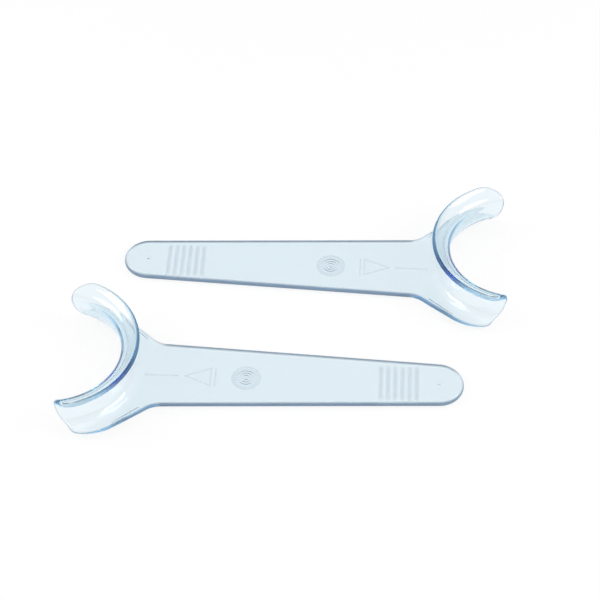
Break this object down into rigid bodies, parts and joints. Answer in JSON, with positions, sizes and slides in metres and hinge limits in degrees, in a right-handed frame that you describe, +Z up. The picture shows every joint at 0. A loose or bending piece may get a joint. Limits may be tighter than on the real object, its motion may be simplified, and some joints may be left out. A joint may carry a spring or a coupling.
{
  "type": "cheek retractor",
  "caption": "Clear plastic cheek retractors lying head to tail, each a flat tapering handle with grip grooves and a C-shaped channelled hook that holds the lips and cheek back.",
  "frame": {"origin": "middle of the pair's footprint, on the surface that the pair lies on", "axes": "+X along the handles, towards the hook of right_retractor; +Y across the handles, from left_retractor to right_retractor; +Z up, the way the hooks stand"},
  "size_m": [0.1556, 0.1104, 0.018],
  "materials": {
    "clear_blue_plastic": "gloss"
  },
  "bodies": {
    "right": {"right_retractor": "clear_blue_plastic"},
    "left": {"left_retractor": "clear_blue_plastic"}
  },
  "joints": [
    {"name": "left_lift", "type": "slide", "parent": "right", "child": "left", "axis": [0, 0, 1], "range_m": [0, 0.1]}
  ]
}
